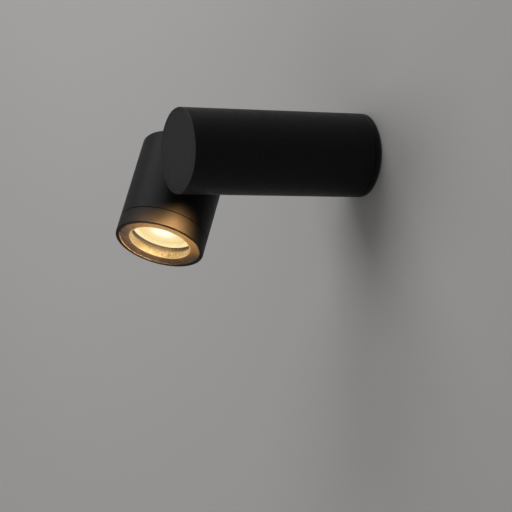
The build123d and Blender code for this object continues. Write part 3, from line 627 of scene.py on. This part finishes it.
def soft_light(name, place, aim, size, power, shade="#ffffff", spread=180):
    """A soft box that looks from its place at its aim; a small spread is a grid in front of it."""
    data = bpy.data.lights.new(name, "AREA")
    data.size = size
    data.energy = power
    data.color = colour(shade)[:3]
    data.spread = math.radians(spread)
    made = bpy.data.objects.new(name, data)
    made.location = place
    made.rotation_mode = "QUATERNION"
    made.rotation_quaternion = (Vector(aim) - Vector(place)).to_track_quat("-Z", "Y")
    made.visible_camera = False
    made.visible_transmission = False
    bpy.context.scene.collection.objects.link(made)
    return made


# One finish for each material slot. Metals and mouldings are given by their dark and light
# shade, their least and most roughness, and their grain and relief in millimetres.
FINISHES = {
    "coated_aluminium": black_powder_coat("black_powder_coat"),
    # Aluminium cut on a mill: pale grey with a satin shine
    "plain_aluminium": metal("milled_aluminium", "#b4b5b6", "#cfd0d1", 0.3, 0.45, grain=0.6),
    # Pressed and turned stainless steel: a warmer grey, and a little shinier
    "stainless_steel": metal("stainless_steel", "#a9a8a5", "#c6c5c2", 0.25, 0.4, grain=0.5),
    # Brass turned on a lathe: yellow, with the shine of a fresh cut
    "brass": metal("turned_brass", "#b8903f", "#d2ae5f", 0.22, 0.38, grain=0.5),
    # Moulded rubber of the seals: dull and nearly black
    "black_rubber": moulded(
        "black_rubber", "#141414", "#1f1f1f", 0.7, 0.9, grain=0.7, relief=0.05
    ),
    "clear_silicone": silicone_with_painted_glow(),
    "front_glass": toughened_glass(),
    "lit_lens": lit_lens(),
    # Moulded plastic of the bulb: a half matt, slightly warm white
    "white_plastic": moulded(
        "white_plastic", "#dedcd5", "#eae8e2", 0.4, 0.55, grain=0.8, relief=0.02
    ),
    # Glazed ceramic of the lampholder: cream with a smooth gloss
    "ceramic": moulded(
        "glazed_ceramic", "#dcd6c8", "#ece7dc", 0.18, 0.3, grain=2.0, relief=0.02
    ),
    # Moulded nylon: a half matt, milky white
    "nylon": moulded("nylon", "#d6d2c6", "#e2dfd5", 0.4, 0.55, grain=0.8, relief=0.02),
    # Extruded skin of the cables: a half matt grey
    "cable_sheath": moulded(
        "cable_sheath", "#8e8c86", "#a19f99", 0.45, 0.6, grain=0.8, relief=0.02
    ),
    # Extruded skin of the earth lead: a half matt green
    "earth_insulation": moulded(
        "earth_insulation", "#4f7d1f", "#6a9a2c", 0.45, 0.6, grain=0.8, relief=0.02
    ),
}
for part in frame["record"]["subparts"]:
    node = frame["nodes"][part["node"]]
    node.data.materials.clear()
    node.data.materials.append(FINISHES[part["material_slot"]])
# The bulb body gets a painted rim glow; the front ring gets a bore with a painted warm tone
frame["nodes"]["bulb_body"].data.materials[0] = bulb_body_with_painted_glow()
frame["nodes"]["front_ring"].data.materials[0] = black_powder_coat(
    "coat_with_bare_bore", bare_bore=True
)

thread = ring_thread()
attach(thread, "screw_ring")

optic = bulb_optic()
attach(optic, "bulb")
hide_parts("bulb_lens")

# Stage and light
UPRIGHT = Matrix.Rotation(math.pi / 2, 4, "X")
stage_plane("wall", Vector((0, WALL_GAP, 0)), UPRIGHT, pale_paint("wall_paint", "#a2a1a0"))
LEVEL = Matrix.Identity(4)
stage_plane("floor", Vector((0, 0, FLOOR_LEVEL)), LEVEL, pale_paint("floor_paint", "#f2f1ef"))
soft_light("top_light", aim=CAMERA_AIM, **TOP_LIGHT)
soft_light("front_light", aim=CAMERA_AIM, **FRONT_LIGHT)
ring_glow = soft_light("ring_glow", GLOW_AIM + GLOW_SIDE * GLOW_DISTANCE, GLOW_AIM, **GLOW_LIGHT)
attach(ring_glow, "head")

world = bpy.data.worlds.new("studio")
bpy.context.scene.world = world
world.use_nodes = True
world.node_tree.nodes.clear()
sky = add(
    world.node_tree,
    "ShaderNodeBackground",
    {"Color": colour("#ffffff"), "Strength": SKY_STRENGTH},
)
add(world.node_tree, "ShaderNodeOutputWorld", {"Surface": sky.outputs["Background"]})

# Camera
azimuth, elevation = math.radians(CAMERA_AZIMUTH), math.radians(CAMERA_ELEVATION)
back = Vector(
    (
        math.sin(azimuth) * math.cos(elevation),
        -math.cos(azimuth) * math.cos(elevation),
        math.sin(elevation),
    )
)
roll = Quaternion(back, math.radians(CAMERA_ROLL))
view = bpy.data.cameras.new("camera")
view.sensor_width = CAMERA_SENSOR
view.lens = CAMERA_LENS
camera = bpy.data.objects.new("camera", view)
camera.location = CAMERA_AIM + back * CAMERA_DISTANCE
camera.rotation_mode = "QUATERNION"
camera.rotation_quaternion = roll @ (-back).to_track_quat("-Z", "Y")
bpy.context.scene.collection.objects.link(camera)
bpy.context.scene.camera = camera
bpy.context.scene.view_settings.view_transform = "Standard"
